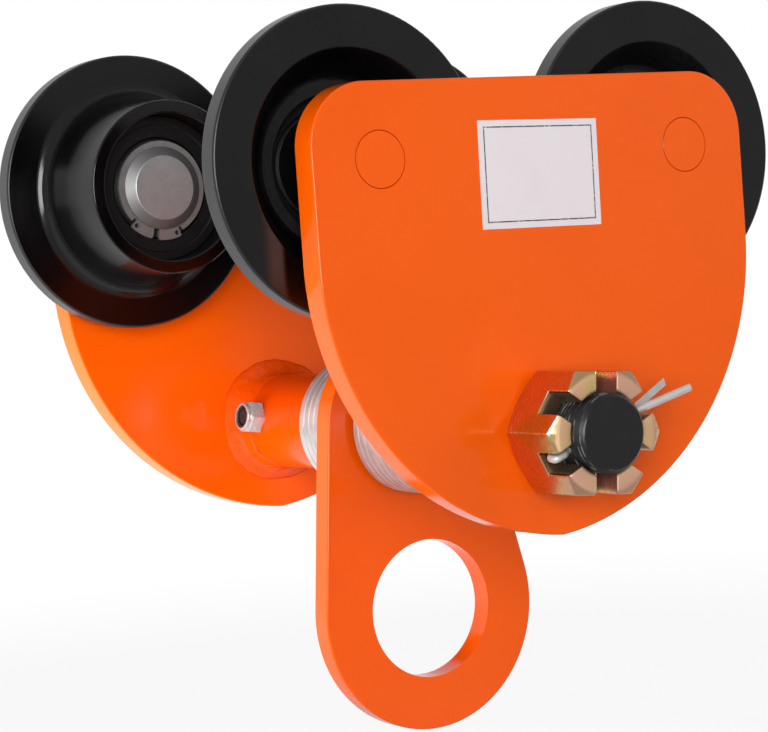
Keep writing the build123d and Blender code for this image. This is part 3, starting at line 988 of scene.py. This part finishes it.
def fit_piece(piece: bpy.types.Object, body: str, node: str, finish: Finish) -> None:
    """Dress a new piece and let it stand for a solid.

    Args:
        piece: the new piece.
        body: the body that it moves with.
        node: the solid that it replaces.
        finish: what it is finished with.
    """
    piece.data.materials.clear()
    piece.data.materials.append(finish.material())
    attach(piece, body)
    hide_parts(node)
    log.info("%s fitted for %s", piece.name, node)


@dataclass
class SidePlates:
    """The two side plates and the blank label on the front one."""

    paint: Finish = GlossPaint("sprayed_orange")
    label: Finish = BlankLabel("blank_label")

    def build(self) -> None:
        """Dress the plates and the label."""
        dress("front_side_plate", self.paint)
        dress("rear_side_plate", self.paint)
        dress("rating_label", self.label)


@dataclass
class WheelStation:
    """One wheel with its bearing, stub axle and retaining ring."""

    corner: Corner
    enamel: Finish = BlackWheel("black_wheel")
    axle: Finish = TurnedSteel("turned_steel")
    balls: Finish = GroundSteel("ground_steel")
    seal: Finish = SealRubber("black_nitrile")
    spring: Finish = ClearZinc("spring_steel", grey(0.27), grey(0.20), roughness=0.42, metal=0.60)

    def build(self) -> None:
        """Dress the pieces of this corner."""
        finishes = {
            "wheel": self.enamel,
            "axle": self.axle,
            "retaining_ring": self.spring,
            "bearing_inner_ring": self.enamel,
            "bearing_outer_ring": self.enamel,
            "bearing_balls": self.balls,
            "bearing_cage": self.spring,
            "bearing_seals": self.seal,
        }
        for piece, finish in finishes.items():
            dress(f"{piece}_{self.corner.value}", finish)


@dataclass
class CrossShaft:
    """The shaft with its sleeves, weld beads, washers, slotted nut and split pin."""

    # The sleeves, their welds and the weld beads take darker copies of the orange paint: painted shade for
    # where they sit between the plates
    shaded_sleeve_paint: Finish = GlossPaint(
        "shaded_sleeve_orange", (0.72, 0.058, 0.0005), (0.68, 0.052, 0.0004), gloss=0.12)
    shaded_weld_paint: Finish = GlossPaint(
        "shaded_weld_orange", (0.75, 0.066, 0.0005), (0.70, 0.058, 0.0004),
        roughness=0.16, gloss=0.22, peel=Grain(700.0, 1.0))
    shaft: Finish = BlackOxide("black_oxide")
    washer: Finish = ClearZinc(
        "washer_zinc", grey(0.56), grey(0.40), roughness=0.36, metal=0.62,
        lines=Grain(900.0, 2.0, (0.05, 1.0, 0.05)))
    nut: Finish = YellowZinc("yellow_zinc")
    pin: Finish = ClearZinc(
        "pin_zinc", (0.66, 0.64, 0.62), (0.56, 0.54, 0.52), roughness=0.38, metal=0.58)
    beads: list[WeldBead] = field(default_factory=lambda: [
        WeldBead("rear_sleeve_weld", plate_y=PLATE_INNER_Y, inward=-1),
        WeldBead("front_sleeve_weld", plate_y=-PLATE_INNER_Y, inward=1),
    ])
    eased_nut: EasedCopy = field(default_factory=lambda: EasedCopy("castle_nut", ease=0.0005))

    def build(self) -> None:
        """Dress the pieces on the shaft, lay the weld beads and break the nut's edges."""
        for sleeve in ("rear_sleeve", "front_sleeve", "rear_sleeve_weld", "front_sleeve_weld"):
            dress(sleeve, self.shaded_sleeve_paint)
        dress("suspension_shaft", self.shaft)
        dress("rear_washers", self.washer)
        dress("front_washers", self.washer)
        dress("castle_nut", self.nut)
        dress("split_pin", self.pin)
        for bead in self.beads:
            fit_piece(bead.model(), "frame", bead.node, self.shaded_weld_paint)
        fit_piece(self.eased_nut.model(), "frame", "castle_nut", self.nut)


@dataclass
class SleeveLock:
    """The cross bolt through the rear sleeve, with its lock nut."""

    bolt: Finish = BlackOxide("black_oxide")
    nut: Finish = ClearZinc("bolt_zinc", grey(0.60), grey(0.42), roughness=0.28, metal=0.58)
    insert: Finish = InsertNylon("insert_nylon")

    def build(self) -> None:
        """Dress the bolt, the nut and its insert."""
        dress("lock_bolt", self.bolt)
        dress("lock_nut", self.nut)
        dress("lock_nut_insert", self.insert)


@dataclass
class HangerLug:
    """The lug that swings on the shaft."""

    paint: Finish = GlossPaint("sprayed_orange")

    def build(self) -> None:
        """Dress the lug."""
        dress("hanger_lug", self.paint)


@dataclass(frozen=True)
class Softbox:
    """A square area lamp that faces the trolley, and that gloss may mirror or not."""

    name: str
    place: Place
    width: float
    power: float
    mirrored: bool

    def hang(self) -> None:
        """Add the lamp."""
        bpy.ops.object.light_add(type="AREA", location=self.place)
        lamp = bpy.context.object
        lamp.name = self.name
        lamp.data.size = self.width
        lamp.data.energy = self.power
        lamp.visible_glossy = self.mirrored
        lamp.rotation_euler = Vector(self.place).to_track_quat("Z", "Y").to_euler()


@dataclass
class Studio:
    """Pale floor and surround, soft lamps and the camera."""

    floor_width: float = 12.0
    floor_gap: float = 0.0005
    surround: Surround = Surround()
    ambient: float = 0.24
    # Where the surround turns from the dim room to the backdrop, and where its light fades overhead
    turn: Span = (-0.10, 0.60)
    overhead: Span = (0.15, 0.75)
    overhead_fade: float = 0.8
    lamps: list[Softbox] = field(default_factory=lambda: [
        Softbox("side_softbox", (-1.4, -0.12, -0.02), width=0.3, power=6.0, mirrored=False),
        Softbox("front_softbox", (-1.25, -1.68, 0.25), width=1.0, power=38.0, mirrored=True),
        Softbox("fill_softbox", (1.4, -1.3, 0.5), width=1.0, power=9.0, mirrored=False),
        Softbox("far_softbox", (1.5, 0.5, 0.3), width=0.8, power=10.0, mirrored=False),
    ])
    eye: Place = (-0.5492, -0.86944, 0.00687)
    right: Place = (0.8432, -0.53274, -0.07207)
    down: Place = (-0.0864, -0.00198, -0.99626)
    ahead: Place = (0.53061, 0.84628, -0.0477)
    lens: float = 114.80
    sensor: float = 36.0
    nearest: float = 0.01

    def build(self) -> None:
        """Set up the whole studio."""
        self.lay_floor()
        self.light_surround()
        for lamp in self.lamps:
            lamp.hang()
        self.place_camera()
        bpy.context.scene.view_settings.view_transform = "Standard"

    def lay_floor(self) -> None:
        """Lay the floor just under the lug."""
        bpy.ops.object.select_all(action="DESELECT")
        bpy.ops.mesh.primitive_plane_add(size=self.floor_width)
        floor = bpy.context.object
        floor.name = "floor"
        bpy.ops.transform.translate(value=(0.0, 0.0, CAD_BOX[0][2] - self.floor_gap))
        bpy.ops.object.transform_apply(location=True)
        floor.data.materials.append(PaleFloor("pale_floor", self.surround).material())

    def light_surround(self) -> None:
        """Make the surround white to the eye, uneven to reflections and soft as a light."""
        world = bpy.data.worlds.new("pale_surround")
        world.use_nodes = True
        graph = Graph(world.node_tree)
        _, back, up = graph.axes("Generated")
        behind = back.ease(*self.turn)
        above = up.ease(*self.overhead)
        camera, mirrored = self.surround.rays(graph)
        scattered = (1.0 - camera.highest(mirrored)) * (1.0 - above * self.overhead_fade)
        strength = camera + mirrored * self.surround.glow(behind) + scattered * self.ambient
        sky = graph.node("ShaderNodeBackground", inputs={"Color": WHITE, "Strength": strength})
        graph.close("ShaderNodeOutputWorld", sky)
        bpy.context.scene.world = world

    def place_camera(self) -> None:
        """Set the camera at the photograph's place, with its lens and its slight roll."""
        bpy.ops.object.camera_add()
        camera = bpy.context.object
        camera.name = "view_camera"
        columns = [Vector(self.right), -Vector(self.down), -Vector(self.ahead)]
        turned = Matrix(columns).transposed().to_4x4()
        camera.matrix_world = Matrix.Translation(self.eye) @ turned
        camera.data.sensor_fit = "HORIZONTAL"
        camera.data.sensor_width = self.sensor
        camera.data.lens = self.lens
        camera.data.clip_start = self.nearest
        bpy.context.scene.camera = camera


def main() -> None:
    """Build and dress the trolley, then set up the studio."""
    logging.basicConfig(level=logging.INFO, format="%(name)s: %(message)s")
    SidePlates().build()
    for corner in Corner:
        WheelStation(corner).build()
    CrossShaft().build()
    SleeveLock().build()
    HangerLug().build()
    Studio().build()


if __name__ == "__main__":
    main()
